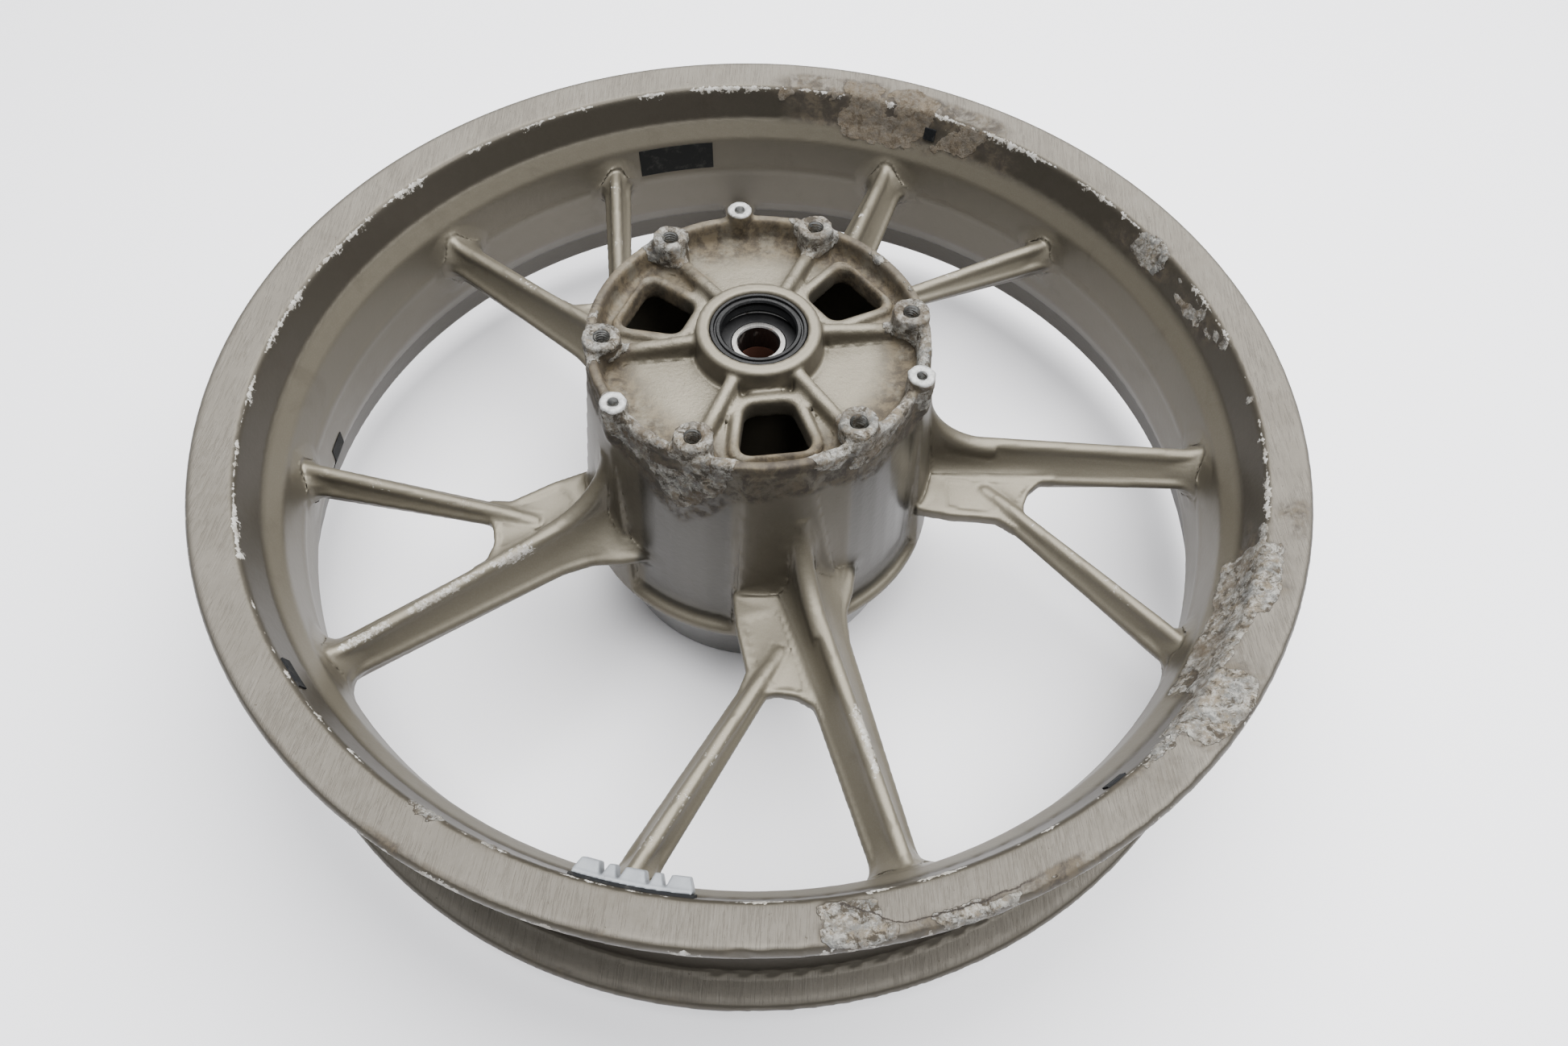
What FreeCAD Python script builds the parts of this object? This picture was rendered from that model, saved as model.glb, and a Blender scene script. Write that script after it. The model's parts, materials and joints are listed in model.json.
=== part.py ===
"""Cast aluminium motorcycle rear wheel, 3.50 x 17, with five forked spokes and a tall hub.

The wheel lies flat: the axle runs along Z and the brake-disc side is up. The origin is the wheel's
centre, where the axle meets the middle plane of the rim. Azimuths are in degrees about +Z from +X.
Lengths are in millimetres.
"""
import FreeCAD
import Part

import math
import os

V = FreeCAD.Vector
UP = V(0, 0, 1)

# Rim: a 3.50 x 17 drop-centre contour
RIM_R = 232.0             # flange edge
RIM_HALF_W = 52.0         # flange face from the middle plane
SEAT_R = 218.3            # bead seat radius at the flange
SEAT_HALF_W = 44.45       # half of the 88.9 mm between the flanges
SEAT_SLOPE = math.tan(math.radians(5))
WELL_R = 206.0            # floor of the well, tyre side
WELL_HALF_W = 14.0
BARREL_R = 202.2          # innermost radius of the barrel
FACE_IN_R = 214.6         # inner edge of the flange face
FACE_DROP = 4.5           # the face is dished by this much

# Hub
HUB_TOP = 82.0
BOSS_TOP = 86.0           # tops of the disc and sensor-ring bosses
HUB_BOTTOM = -71.6        # open end of the drive drum, which the wheel stands on
HUB_TOP_R = 70.0
PANEL_R = 76.5            # hub skin at the foot of the recessed panels
PANEL_Z = -17.0
LIP_R = 82.6
LIP_Z = -25.0
DRUM_FOOT_R = 68.5
WEB_TOP = 71.5
WEB_BOTTOM = 65.5
FLOOR_TOP = -22.0
FLOOR_BOTTOM = -30.0
CAVITY_R = 62.5           # drive cavity and its mouth
CENTRE_BOSS_R = 25.5
CENTRE_BOSS_TOP = 84.0
DRIVE_BOSS_R = 27.0
DRIVE_BOSS_Z = -44.0

# Bolt circles on the disc side
DISC_PCD = 125.2
DISC_AZ = [10 + 60 * i for i in range(6)]
DISC_BOSS_R = 7.6
DISC_TAP_R = 3.35         # M8 tapping size
DISC_TAP_DEPTH = 22.0
SENSOR_PCD = 137.6
SENSOR_AZ = [100, 220, 340]
SENSOR_BOSS_R = 5.5
SENSOR_TAP_R = 2.1        # M5 tapping size
SENSOR_TAP_DEPTH = 14.0
WINDOW_AZ = [40, 160, 280]

# Bearings: 17 x 40 x 12 deep groove, eight balls
AXLE_R = 8.5
BEARING_R = 20.0
BEARING_W = 12.0
INNER_SHOULDER_R = 11.4
OUTER_SHOULDER_R = 17.1
PITCH_R = 14.25
BALL_R = 3.37
BALL_COUNT = 8
RUNNING_GAP = 0.04
DISC_BEARING_Z = 63.0     # lower face of the disc-side bearing
DRIVE_BEARING_Z = -40.0   # lower face of the drive-side bearing
TUBE_R = 12.0
SHOULDER_BORE_R = 17.5

# Shaft seal 30 x 40 x 7 over the disc-side bearing
SEAL_Z = 76.0
SEAL_W = 7.0
SEAL_LIP_R = 15.2

# Retaining ring under the drive-side bearing
CLIP_T = 1.75
CLIP_GROOVE_R = 21.25

# Forked spokes
ARM_COUNT = 5
ARM_AZ = 0.4              # azimuth of the first main spoke's crest at the rim
ARM_STEP = 360.0 / ARM_COUNT
SPOKE_MID = 2.5           # middle plane of the spokes
EDGE_HALF = 2.6           # half thickness of the rounded spoke edges
CREST_HALF = 3.0          # half width of the rounded crest
ARM_TRIM_R = 204.4        # arms end inside the barrel wall
CORNER_R = 7.0            # rounded corner between a spoke's edge and the rim
CORNER_END = 0.3          # the corner's curve stops this far from the rim
CORNER_STEPS = [CORNER_R, 4.4, 2.6, 1.3, CORNER_END, -6.5]
BRANCH_START = (112.1, -27.4)
BRANCH_TURN = -46.1       # direction of the branch from the main spoke
PLATE_HALF = 3.2
POCKET_DEPTH = 1.4

# Drive dampers
VANE_COUNT = 5
VANE_AZ = 18.0
VANE_W = 9.0
VANE_BOTTOM = -59.0
RUBBER_GAP = 0.4
PADDLE_W = 11.0

# Tyre valve, in the lower shoulder of the well behind the hub
VALVE_AZ = 96.0
VALVE_Z = -29.5
VALVE_HOLE_R = 4.15
VALVE_PAD_R = 9.0
VALVE_PAD_FACE = 204.0
VALVE_SEAT_FACE = 212.5

# Stick-on balance weight under the disc-side flange
WEIGHT_AZ = 262.0
WEIGHT_SPAN = 11.2
WEIGHT_R = 209.0
WEIGHT_BLOCKS = [9.0, 5.0, 9.2, 5.0, 9.0]
WEIGHT_GAP = 0.6


# ---------------------------------------------------------------- helpers

def polar(radius, azimuth, z=0.0):
    a = math.radians(azimuth)
    return V(radius * math.cos(a), radius * math.sin(a), z)


def turned(shape, azimuth):
    copy = shape.copy()
    copy.rotate(V(0, 0, 0), UP, azimuth)
    return copy


def section(start, *steps):
    """Closed (radius, z) outline: a step is a corner, or (via, end) for an arc through via."""
    edges = []
    here = start
    for step in steps:
        if isinstance(step[0], tuple):
            via, end = step
            arc = Part.Arc(V(here[0], 0, here[1]), V(via[0], 0, via[1]), V(end[0], 0, end[1]))
            edges.append(arc.toShape())
        else:
            end = step
            edges.append(Part.makeLine(V(here[0], 0, here[1]), V(end[0], 0, end[1])))
        here = end
    if math.dist(here, start) > 1e-6:
        edges.append(Part.makeLine(V(here[0], 0, here[1]), V(start[0], 0, start[1])))
    return Part.Face(Part.Wire(edges))


def revolved(face, angle=360.0, azimuth=0.0):
    return turned(face.revolve(V(0, 0, 0), UP, angle), azimuth)


def ring(r_in, r_out, z0, z1):
    return revolved(section((r_in, z0), (r_out, z0), (r_out, z1), (r_in, z1)))


def cylinder(radius, z0, z1, centre=V(0, 0, 0)):
    return Part.makeCylinder(radius, z1 - z0, V(centre.x, centre.y, z0))


def prism(points, z0, z1):
    """Upright prism over a closed polygon of (x, y) points."""
    wire = Part.makePolygon([V(x, y, z0) for x, y in points + points[:1]])
    return Part.Face(wire).extrude(V(0, 0, z1 - z0))


def upright_edges(shape):
    return [e for e in shape.Edges if abs(e.tangentAt(e.FirstParameter).z) > 0.99]


def save(name, shape):
    if shape.ShapeType == "Compound" and len(shape.Solids) == 1:
        shape = shape.Solids[0]
    shape.exportStep(os.path.join("parts", name + ".step"))
    print(name, "solids", len(shape.Solids), "valid", shape.isValid(), "cm3", round(shape.Volume / 1000, 2))


# ---------------------------------------------------------------- rim

def seat_radius(z):
    return SEAT_R - (SEAT_HALF_W - abs(z)) * SEAT_SLOPE


def rim_half(side):
    """Corner points of one half of the rim, from the middle of the well round to the barrel's nose."""
    hump_z = 27.0
    tyre_side = [
        ((WELL_R + 0.5, side * (WELL_HALF_W - 0.4)), (WELL_R + 1.6, side * (WELL_HALF_W + 1.2))),
        (seat_radius(24) - 0.8, side * 23.0),
        ((seat_radius(26) + 0.7, side * 25.2), (seat_radius(hump_z) - 0.1, side * hump_z)),
        (seat_radius(42), side * 42.0),
        ((SEAT_R + 0.7, side * 43.9), (SEAT_R + 2.7, side * SEAT_HALF_W)),
        (RIM_R - 4.4, side * SEAT_HALF_W),
        ((RIM_R, side * (RIM_HALF_W - 3.2)), (RIM_R - 2.4, side * (RIM_HALF_W - 0.1))),
    ]
    axle_side = [
        (FACE_IN_R + 1.0, side * (RIM_HALF_W - FACE_DROP + 0.3)),
        ((FACE_IN_R + 0.1, side * (RIM_HALF_W - FACE_DROP - 0.2)),
         (FACE_IN_R - 0.4, side * (RIM_HALF_W - FACE_DROP - 1.4))),
        (210.6, side * 33.0),
        ((210.2, side * 31.8), (209.4, side * 31.0)),
        (205.4, side * 23.2),
        ((204.8, side * 22.2), (204.6, side * 21.2)),
    ]
    return tyre_side, axle_side


def reversed_steps(start, steps):
    """The same outline walked the other way: returns its first point and its steps."""
    ends = [start] + [s[1] if isinstance(s[0], tuple) else s for s in steps]
    back = []
    for i in range(len(steps) - 1, -1, -1):
        step = steps[i]
        back.append((step[0], ends[i]) if isinstance(step[0], tuple) else ends[i])
    return ends[-1], back


def rim():
    up_tyre, up_axle = rim_half(1)
    low_tyre, low_axle = rim_half(-1)
    top_start = (WELL_R, WELL_HALF_W - 3)
    low_start = (WELL_R, -WELL_HALF_W + 3)
    nose = [(BARREL_R + 0.5, 5.0), ((BARREL_R, 2.5), (BARREL_R + 0.5, 0.0))]
    end, back = reversed_steps(low_start, low_tyre + low_axle)
    return revolved(section(top_start, *up_tyre, *up_axle, *nose, end, *back))


def valve_station():
    """Pad, spot face and hole of the valve: (what is added, what is cut away)."""
    at = polar(VALVE_PAD_FACE, VALVE_AZ, VALVE_Z)
    outward = polar(1, VALVE_AZ)
    pad = Part.makeCylinder(VALVE_PAD_R, 6, at, outward)
    hole = Part.makeCylinder(VALVE_HOLE_R, 20, at - outward * 2, outward)
    spot = Part.makeCylinder(VALVE_PAD_R - 0.5, 12, polar(VALVE_SEAT_FACE, VALVE_AZ, VALVE_Z), outward)
    return pad, hole.fuse(spot)


# ---------------------------------------------------------------- hub

def hub_shell():
    """Hub skin, web, centre boss, floor and drum as one turned body, with its closed core."""
    body = revolved(section(
        (BEARING_R, CENTRE_BOSS_TOP - 0.6), (BEARING_R + 0.6, CENTRE_BOSS_TOP),
        (CENTRE_BOSS_R - 1.6, CENTRE_BOSS_TOP),
        ((CENTRE_BOSS_R - 0.5, CENTRE_BOSS_TOP - 0.5), (CENTRE_BOSS_R, CENTRE_BOSS_TOP - 1.6)),
        (CENTRE_BOSS_R + 0.9, WEB_TOP + 3),
        ((CENTRE_BOSS_R + 1.8, WEB_TOP + 0.8), (CENTRE_BOSS_R + 4, WEB_TOP)),
        (62.5, WEB_TOP), ((64.3, WEB_TOP + 0.7), (65.0, WEB_TOP + 2.5)),
        (65.6, HUB_TOP - 1.5), ((66.2, HUB_TOP - 0.3), (67.5, HUB_TOP)),
        (HUB_TOP_R - 1.2, HUB_TOP), ((HUB_TOP_R - 0.3, HUB_TOP - 0.4), (HUB_TOP_R, HUB_TOP - 1.5)),
        (HUB_TOP_R - 0.3, HUB_TOP - 6), (PANEL_R, PANEL_Z),
        ((PANEL_R + 1.2, PANEL_Z - 3.4), (LIP_R - 2.2, LIP_Z + 3.4)),
        ((LIP_R, LIP_Z), (LIP_R - 2.0, LIP_Z - 3.6)),
        (77.6, -31.5), (DRUM_FOOT_R + 0.5, HUB_BOTTOM + 1.5), (DRUM_FOOT_R - 1, HUB_BOTTOM),
        (CAVITY_R + 0.8, HUB_BOTTOM), (CAVITY_R, HUB_BOTTOM + 0.8), (CAVITY_R, FLOOR_BOTTOM),
        (DRIVE_BOSS_R, FLOOR_BOTTOM), (DRIVE_BOSS_R - 0.5, DRIVE_BOSS_Z),
        (BEARING_R + 0.8, DRIVE_BOSS_Z), (BEARING_R, DRIVE_BOSS_Z + 0.8),
        (BEARING_R, DRIVE_BEARING_Z + BEARING_W), (SHOULDER_BORE_R, DRIVE_BEARING_Z + BEARING_W),
        (SHOULDER_BORE_R, DISC_BEARING_Z), (BEARING_R, DISC_BEARING_Z),
    ))
    core = revolved(section(
        (25.0, FLOOR_TOP), (69.5, FLOOR_TOP), (71.0, FLOOR_TOP + 3), (65.2, 58.0),
        ((64.0, 63.5), (59.0, WEB_BOTTOM)), (25.0, WEB_BOTTOM),
    ))
    groove = ring(BEARING_R - 1, CLIP_GROOVE_R, DRIVE_BEARING_Z - CLIP_T - 0.1, DRIVE_BEARING_Z)
    return body.cut(core).cut(groove)


def window_outline(grow):
    """Corners of a web window, symmetric about +X and grown by the width of its raised lip."""
    inner_x = 32.0 - grow
    outer_x = 57.2 + min(grow, 3.0)
    inner_y = 9.2 + grow
    outer_y = 15.2 + grow
    return [(inner_x, -inner_y), (outer_x, -outer_y), (outer_x, outer_y), (inner_x, inner_y)]


def window_lip():
    """Raised border of a window, rounded over on both sides."""
    top_z = WEB_TOP + 4.2
    lip = prism(window_outline(4.6), WEB_BOTTOM, top_z)
    lip = lip.makeFillet(6.5, upright_edges(lip)).cut(window_hole())
    top = [e for e in lip.Edges if abs(e.BoundBox.ZMin - top_z) < 1e-3]
    return lip.makeFillet(1.4, top)


def window_hole():
    hole = prism(window_outline(0), WEB_BOTTOM - 4, WEB_TOP + 8)
    return hole.makeFillet(4.5, upright_edges(hole))


def web_rib():
    """Radial rib from the centre boss out to a disc boss, falling slightly outwards."""
    half = 2.9
    rib = Part.Face(Part.makePolygon([
        V(24, -half, 68), V(57, -half, 68), V(57, -half, 78.5), V(24, -half, 81.5), V(24, -half, 68),
    ])).extrude(V(0, 2 * half, 0))
    crest = [e for e in rib.Edges if e.BoundBox.ZMin > 77 and e.BoundBox.XLength > 20]
    return rib.makeFillet(2.4, crest)


def disc_boss():
    boss = cylinder(DISC_BOSS_R, 64, BOSS_TOP, V(DISC_PCD / 2, 0, 0))
    return boss.fuse(Part.makeBox(8, 11, BOSS_TOP - 70, V(DISC_PCD / 2, -5.5, 64)).common(
        cylinder(HUB_TOP_R - 0.5, 60, BOSS_TOP)))


def sensor_boss():
    """Slim boss that stands out of the hub wall, with a tapering pillar under it."""
    x = SENSOR_PCD / 2
    post = cylinder(SENSOR_BOSS_R, 66, BOSS_TOP, V(x, 0, 0))
    pillar = Part.makeCone(1.5, SENSOR_BOSS_R, 22, V(x - 1.0, 0, 44))
    return post.fuse(pillar)


def tapped_hole(radius, depth, pcd, azimuth):
    centre = polar(pcd / 2, azimuth)
    hole = cylinder(radius, BOSS_TOP - depth, BOSS_TOP + 2, centre)
    mouth = Part.makeCone(radius, radius + 1.0, 1.0, V(centre.x, centre.y, BOSS_TOP - 0.8))
    return hole.fuse(mouth)


def tapped_holes():
    """All tapped holes, cut last because a hub column reaches under one sensor boss."""
    holes = [tapped_hole(DISC_TAP_R, DISC_TAP_DEPTH, DISC_PCD, a) for a in DISC_AZ]
    return holes + [tapped_hole(SENSOR_TAP_R, SENSOR_TAP_DEPTH, SENSOR_PCD, a) for a in SENSOR_AZ]


def drive_vane():
    vane = Part.makeBox(CAVITY_R - DRIVE_BOSS_R + 2, VANE_W, FLOOR_BOTTOM + 1 - VANE_BOTTOM,
                        V(DRIVE_BOSS_R - 1, -VANE_W / 2, VANE_BOTTOM))
    return vane.makeFillet(2.0, upright_edges(vane)[:2])


def hub():
    body = hub_shell()
    added = [turned(window_lip(), a) for a in WINDOW_AZ]
    added += [turned(web_rib(), a) for a in DISC_AZ]
    added += [turned(disc_boss(), a) for a in DISC_AZ]
    added += [turned(sensor_boss(), a) for a in SENSOR_AZ]
    added += [turned(drive_vane(), VANE_AZ + i * 360.0 / VANE_COUNT) for i in range(VANE_COUNT)]
    body = body.fuse(added)
    return body.cut([turned(window_hole(), a) for a in WINDOW_AZ])


# ---------------------------------------------------------------- spokes

def spoke_section(x, low_y, high_y, crest_y, height):
    """Cross-section in the plane X = x: thin rounded edges, hollow flanks, crests above and below."""
    def at(y, z):
        return V(x, y, SPOKE_MID + z)

    def arc(a, via, b):
        return Part.Arc(at(*a), at(*via), at(*b)).toShape()

    def flank(a, b):
        """Concave arc from the edge a to the crest b, on the side away from the middle plane."""
        mid = ((a[0] + b[0]) / 2, (a[1] + b[1]) / 2)
        sag = 0.07 * math.dist(a, b)
        toward = 1 if b[0] > a[0] else -1
        return arc(a, (mid[0] + toward * sag, mid[1] - math.copysign(sag, b[1])), b)

    shoulder = height - 0.55 * CREST_HALF
    low_edge, high_edge = low_y + EDGE_HALF, high_y - EDGE_HALF
    left, right = crest_y - CREST_HALF, crest_y + CREST_HALF
    upper = [
        arc((low_edge, -EDGE_HALF), (low_y, 0), (low_edge, EDGE_HALF)),
        flank((low_edge, EDGE_HALF), (left, shoulder)),
        arc((left, shoulder), (crest_y, height), (right, shoulder)),
        flank((high_edge, EDGE_HALF), (right, shoulder)),
    ]
    lower = [
        arc((high_edge, EDGE_HALF), (high_y, 0), (high_edge, -EDGE_HALF)),
        flank((high_edge, -EDGE_HALF), (right, -shoulder)),
        arc((right, -shoulder), (crest_y, -height), (left, -shoulder)),
        flank((low_edge, -EDGE_HALF), (left, -shoulder)),
    ]
    return Part.Wire(Part.__sortEdges__(upper + lower))


def spoke(stations):
    return Part.makeLoft([spoke_section(*s) for s in stations], True, True)


def flare(distance):
    """How far a spoke's edge has swung out, in its rounded corner, at this distance from the rim."""
    if distance >= CORNER_R:
        return 0.0
    if distance < CORNER_END:
        return flare(CORNER_END) + CORNER_END - distance
    return CORNER_R - math.sqrt(CORNER_R ** 2 - (CORNER_R - distance) ** 2)


def main_spoke():
    """Stations (radius, clockwise edge, anticlockwise edge, crest, crest height)."""
    stations = [
        (70.0, -15.5, 26.0, -3.4, 22.0), (84.0, -14.6, 19.5, -2.8, 20.0), (93.0, -14.0, 13.8, -2.2, 18.8),
        (106.0, -13.4, 10.9, -1.5, 17.4),
    ]
    rim_x = BARREL_R - 0.5
    for distance in CORNER_STEPS:
        swing = flare(distance)
        stations.append((rim_x - distance, -11.6 - swing, 7.7 + swing, 0.0, 12.8 + 0.3 * swing))
    return spoke(stations)


def branch_spoke():
    """Branch spoke, along +X in its own frame and then turned and moved to the fork.

    It meets the rim at a slant, so its anticlockwise edge reaches the rim first.
    """
    low_rim_x, high_rim_x = 99.4, 92.2
    places = sorted([low_rim_x - d for d in CORNER_STEPS] + [high_rim_x - d for d in CORNER_STEPS[:-1]])
    stations = [(-14.0, -6.0, 5.0, 0.0, 3.4), (0.0, -6.2, 5.3, 0.0, 5.8)]
    for x in places:
        low, high = flare(low_rim_x - x), flare(high_rim_x - x)
        stations.append((x, -8.0 - low, 6.9 + high, 0.0, 10.8 + 0.3 * low))
    branch = spoke(stations)
    branch.rotate(V(0, 0, 0), UP, BRANCH_TURN)
    branch.translate(V(BRANCH_START[0], BRANCH_START[1], 0))
    return branch


def fork_plate():
    """Thin plate between the hub and the fork, with a shallow pocket in each face."""
    outline = [(72, -31.0), (88, -33.6), (108.5, -34.6), (116.0, -40.0), (121.0, -29.5), (121.6, -25.4),
               (124.4, -18.6), (130.5, -12.8), (137.0, -12.2), (137.0, -4), (72, -4)]
    plate = prism(outline, SPOKE_MID - PLATE_HALF, SPOKE_MID + PLATE_HALF)
    inset = [(86, -29.6), (107.5, -31.0), (118.5, -26.4), (121.4, -19.0), (127.0, -13.4), (86, -13.4)]
    for z in (SPOKE_MID + PLATE_HALF - POCKET_DEPTH, SPOKE_MID - PLATE_HALF - 1):
        pocket = prism(inset, z, z + POCKET_DEPTH + 1)
        plate = plate.cut(pocket.makeFillet(2.0, upright_edges(pocket)))
    return plate


def crest_gusset():
    """Curved root that carries the main crest up the hub column."""
    half = 4.2
    foot, back, head = V(108, -half, SPOKE_MID), V(68, -half, SPOKE_MID), V(68, -half, SPOKE_MID + 48)
    shoulder, toe = V(74.5, -half, SPOKE_MID + 48), V(108, -half, SPOKE_MID + 16.8)
    edges = [
        Part.makeLine(back, head), Part.makeLine(head, shoulder),
        Part.Arc(shoulder, V(84.5, -half, SPOKE_MID + 26.0), toe).toShape(),
        Part.makeLine(toe, foot), Part.makeLine(foot, back),
    ]
    root = Part.Face(Part.Wire(edges)).extrude(V(0, 2 * half, 0))
    curved = [e for e in root.Edges if e.Curve.TypeId == "Part::GeomCircle"]
    root = root.makeFillet(3.4, curved)
    root.translate(V(0, -2.4, 0))
    return root


def hub_column():
    """Raised column on the hub skin over each arm, widening towards the lip."""
    inner, outer_top, outer_low = 66.0, 70.5, 82.4

    def sector(z, outer, first, last):
        mid = (first + last) / 2
        edges = [
            Part.Arc(polar(inner, first, z), polar(inner, mid, z), polar(inner, last, z)).toShape(),
            Part.makeLine(polar(inner, last, z), polar(outer, last, z)),
            Part.Arc(polar(outer, last, z), polar(outer, mid, z), polar(outer, first, z)).toShape(),
            Part.makeLine(polar(outer, first, z), polar(inner, first, z)),
        ]
        return Part.Wire(edges)

    return Part.makeLoft([sector(77, outer_top, -20.0, 1.0), sector(LIP_Z, outer_low, -22.5, 13.5)], True, True)


def arm():
    """One forked arm, with its main spoke along +X."""
    plate = fork_plate()
    body = main_spoke().fuse([branch_spoke(), plate, crest_gusset()])
    band = cylinder(ARM_TRIM_R, -60, 60).cut(cylinder(71.5, -61, 61))
    return body.common(band).fuse(hub_column())


def wheel_casting():
    arms = [turned(arm(), ARM_AZ + i * ARM_STEP) for i in range(ARM_COUNT)]
    pad, valve_cut = valve_station()
    body = hub().fuse(arms + [rim(), pad]).cut([valve_cut] + tapped_holes())
    return body.removeSplitter()


# ---------------------------------------------------------------- bearings

def race_groove():
    """Ring that the ball track leaves free, slightly larger than the balls."""
    return Part.makeTorus(PITCH_R, BALL_R + RUNNING_GAP)


def ball_centres():
    return [polar(PITCH_R, i * 360.0 / BALL_COUNT) for i in range(BALL_COUNT)]


def turned_ring(r_in, r_out, half_w, edge):
    return revolved(section(
        (r_in, -half_w + edge), (r_in + edge, -half_w), (r_out - edge, -half_w), (r_out, -half_w + edge),
        (r_out, half_w - edge), (r_out - edge, half_w), (r_in + edge, half_w), (r_in, half_w - edge)))


def bearing_parts():
    """Pieces of one sealed bearing, centred on the origin."""
    half = BEARING_W / 2
    inner = turned_ring(AXLE_R, INNER_SHOULDER_R, half, 0.5).cut(race_groove())
    outer = turned_ring(OUTER_SHOULDER_R, BEARING_R, half, 0.5).cut(race_groove())
    balls = Part.makeCompound([Part.makeSphere(BALL_R, c) for c in ball_centres()])
    cage = ring(PITCH_R - 1.5, PITCH_R + 1.5, -3.9, 3.9)
    pockets = [Part.makeCylinder(BALL_R + RUNNING_GAP, 6, c - polar(3, i * 360.0 / BALL_COUNT),
                                 polar(1, i * 360.0 / BALL_COUNT)) for i, c in enumerate(ball_centres())]
    cage = cage.cut(pockets)
    shields = []
    for side in (-1, 1):
        z0, z1 = sorted((side * 4.5, side * 5.5))
        lip = ring(INNER_SHOULDER_R + RUNNING_GAP, INNER_SHOULDER_R + 1.0, z0, z1 + 0.2 if side > 0 else z1)
        shields.append(ring(INNER_SHOULDER_R + 0.9, OUTER_SHOULDER_R, z0, z1).fuse(lip).removeSplitter())
    return {"inner_ring": inner, "outer_ring": outer, "balls": balls, "cage": cage,
            "shields": Part.makeCompound(shields)}


def save_bearing(prefix, z_low):
    for name, shape in bearing_parts().items():
        shape.translate(V(0, 0, z_low + BEARING_W / 2))
        save(prefix + "_" + name, shape)


def spacer_tube():
    """Distance tube that carries the clamp load of the axle between the two inner rings."""
    low, high = DRIVE_BEARING_Z + BEARING_W, DISC_BEARING_Z
    return revolved(section(
        (AXLE_R, low), (10.6, low), (TUBE_R, low + 4), (TUBE_R, high - 4), (10.6, high), (AXLE_R, high)))


def shaft_seal():
    """Rubber seal with a deep outer band, a spring-loaded lip and a dust lip."""
    top = SEAL_Z + SEAL_W
    return revolved(section(
        (BEARING_R, SEAL_Z + 0.5), (BEARING_R, top - 0.6), (BEARING_R - 0.6, top), (18.4, top),
        (18.0, top - 0.9), (17.4, top - 0.9), (17.0, top - 0.2), (15.9, top - 0.2),
        (SEAL_LIP_R, top - 0.9), (15.7, top - 1.6), (16.6, top - 2.2), (16.4, top - 3.6),
        (SEAL_LIP_R, SEAL_Z + 1.9), (15.6, SEAL_Z + 0.7), (16.4, SEAL_Z + 1.2),
        ((17.35, SEAL_Z + 2.05), (18.0, SEAL_Z + 3.2)), (18.0, SEAL_Z + 4.6),
        (18.6, SEAL_Z + 4.6), (18.6, SEAL_Z)))


def garter_spring():
    spring = Part.makeTorus(17.45, 0.55)
    spring.translate(V(0, 0, SEAL_Z + 1.15))
    return spring


def retaining_ring():
    """Internal retaining ring with a gap and two plier lugs."""
    low = DRIVE_BEARING_Z - CLIP_T
    body = ring(18.0, CLIP_GROOVE_R - 0.05, low, low + CLIP_T)
    lugs = [cylinder(2.4, low, low + CLIP_T, polar(16.9, a)) for a in (-14, 14)]
    gap = Part.makeBox(12, 5.4, CLIP_T + 2, V(12, -2.7, low - 1))
    eyes = [cylinder(1.1, low - 1, low + CLIP_T + 1, polar(16.6, a)) for a in (-14, 14)]
    return body.fuse(lugs).cut([gap] + eyes).removeSplitter()


# ---------------------------------------------------------------- drive dampers

def damper_rubber():
    """Two rubber blocks joined by a bridge, filling the space between two vanes."""
    half_vane = VANE_W / 2 + RUBBER_GAP
    low, high = VANE_BOTTOM + 1, FLOOR_BOTTOM - RUBBER_GAP
    space = ring(DRIVE_BOSS_R + 1.5, CAVITY_R - RUBBER_GAP, low, high)
    step = 360.0 / VANE_COUNT
    wedge = Part.makeCylinder(90, high - low, V(0, 0, low), UP, step)
    wedge.rotate(V(0, 0, 0), UP, -step / 2)
    for side in (-1, 1):
        slab = Part.makeBox(100, half_vane * 2, 60, V(0, -half_vane, low - 1))
        space = space.cut(turned(slab, side * step / 2))
    body = space.common(wedge)
    slot = Part.makeBox(60, PADDLE_W, high - low - 9, V(20, -PADDLE_W / 2, low - 1))
    body = body.cut(slot)
    return body.makeFillet(1.8, upright_edges(body))


# ---------------------------------------------------------------- valve

def along_valve(shape):
    """Turns a shape made along +Z from the pad face so that it points at the axle."""
    shape.rotate(V(0, 0, 0), V(0, 1, 0), -90)
    shape = turned(shape, VALVE_AZ)
    shape.translate(polar(VALVE_PAD_FACE, VALVE_AZ, VALVE_Z))
    return shape


def valve_stem():
    """Clamp-in stem: a broad head on the tyre side and a threaded body towards the axle."""
    head = VALVE_PAD_FACE - VALVE_SEAT_FACE
    return along_valve(revolved(section(
        (1.6, head - 4.0), (7.0, head - 4.0), (7.5, head - 3.5), (7.5, head - 1.6), (4.0, head - 1.6),
        (4.0, 10.0), (3.85, 10.4), (3.85, 23.0), (3.4, 23.4), (3.4, 25.5), (3.75, 26.0), (3.75, 33.0),
        (3.3, 33.5), (1.6, 33.5))))


def valve_seal():
    head = VALVE_PAD_FACE - VALVE_SEAT_FACE
    return along_valve(ring(4.05, 7.4, head - 1.6, head))


def valve_nut():
    hexagon = [(5.9 * math.cos(math.radians(60 * i)), 5.9 * math.sin(math.radians(60 * i))) for i in range(6)]
    nut = prism(hexagon, 0.0, 4.6).common(Part.makeCone(8.8, 4.6, 4.6)).cut(cylinder(4.02, -1, 6))
    return along_valve(nut.fuse(ring(4.02, 7.0, 0.0, 1.0)).removeSplitter())


def valve_core():
    return along_valve(revolved(section(
        (0, 10.0), (1.2, 10.0), (1.5, 12.0), (1.5, 16.0), (0.9, 17.0), (0.9, 28.0), (1.5, 28.5),
        (1.5, 31.5), (0.5, 31.8), (0.5, 33.2), (0, 33.2))))


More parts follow.
